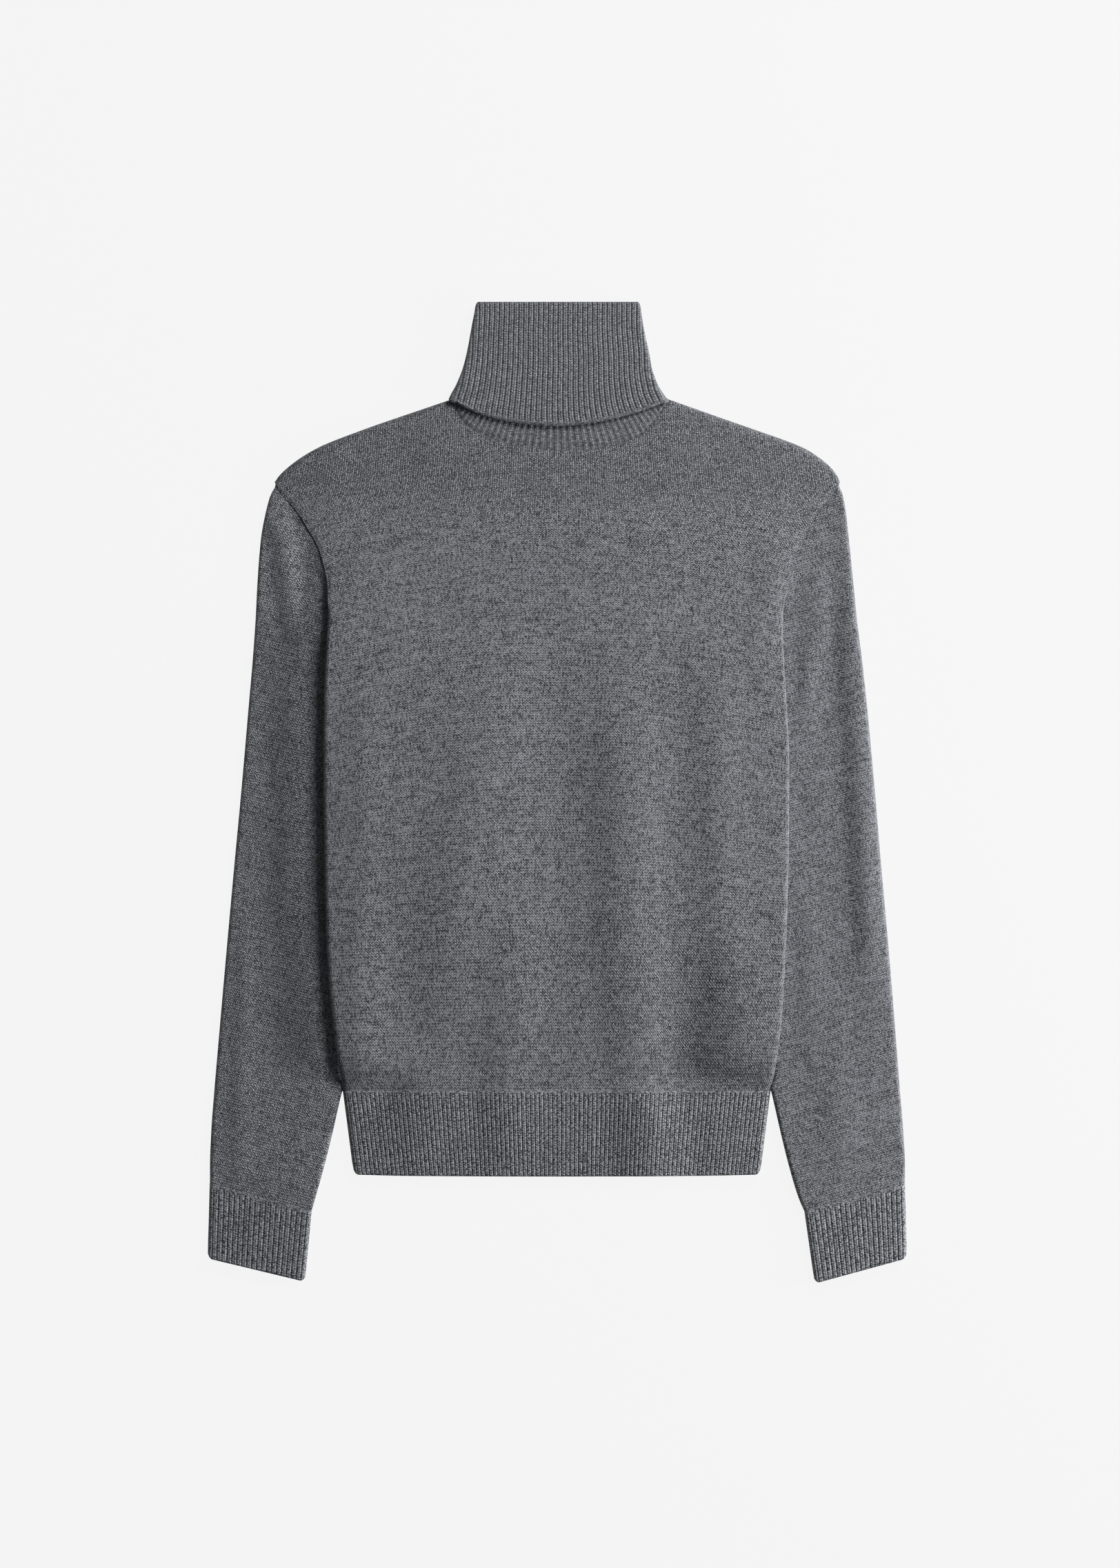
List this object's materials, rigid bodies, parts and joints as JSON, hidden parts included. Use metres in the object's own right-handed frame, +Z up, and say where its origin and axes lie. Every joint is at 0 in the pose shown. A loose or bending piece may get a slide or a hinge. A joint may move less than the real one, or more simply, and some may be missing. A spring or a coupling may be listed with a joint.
{
  "type": "turtleneck sweater",
  "caption": "Long-sleeved roll-neck sweater in fine grey wool knit, laid flat on its back, with a folded rib collar, rib cuffs and a rib hem.",
  "frame": {"origin": "centre of the bounding box in X and Y, on the surface the sweater lies on", "axes": "+X across the chest towards the viewer's right as it lies, +Y from the hem to the collar, +Z up from the surface, out of the front panel"},
  "size_m": [0.5941, 0.8332, 0.0176],
  "materials": {
    "plain_knit": "grey melange wool in plain stocking stitch, matt, with lighter and darker fibres mixed in the yarn",
    "rib_knit": "the same grey melange wool in one-by-one rib, matt, with dark grooves between the ribs",
    "collar_knit": "the same wool in a heavier one-by-one rib with larger stitches and a more even grey"
  },
  "bodies": {
    "root": {"front": "plain_knit", "back": "plain_knit", "sleeve_left": "plain_knit", "sleeve_right": "plain_knit", "cuff_left": "rib_knit", "cuff_right": "rib_knit", "hem_rib": "rib_knit", "collar": "collar_knit"}
  },
  "joints": []
}
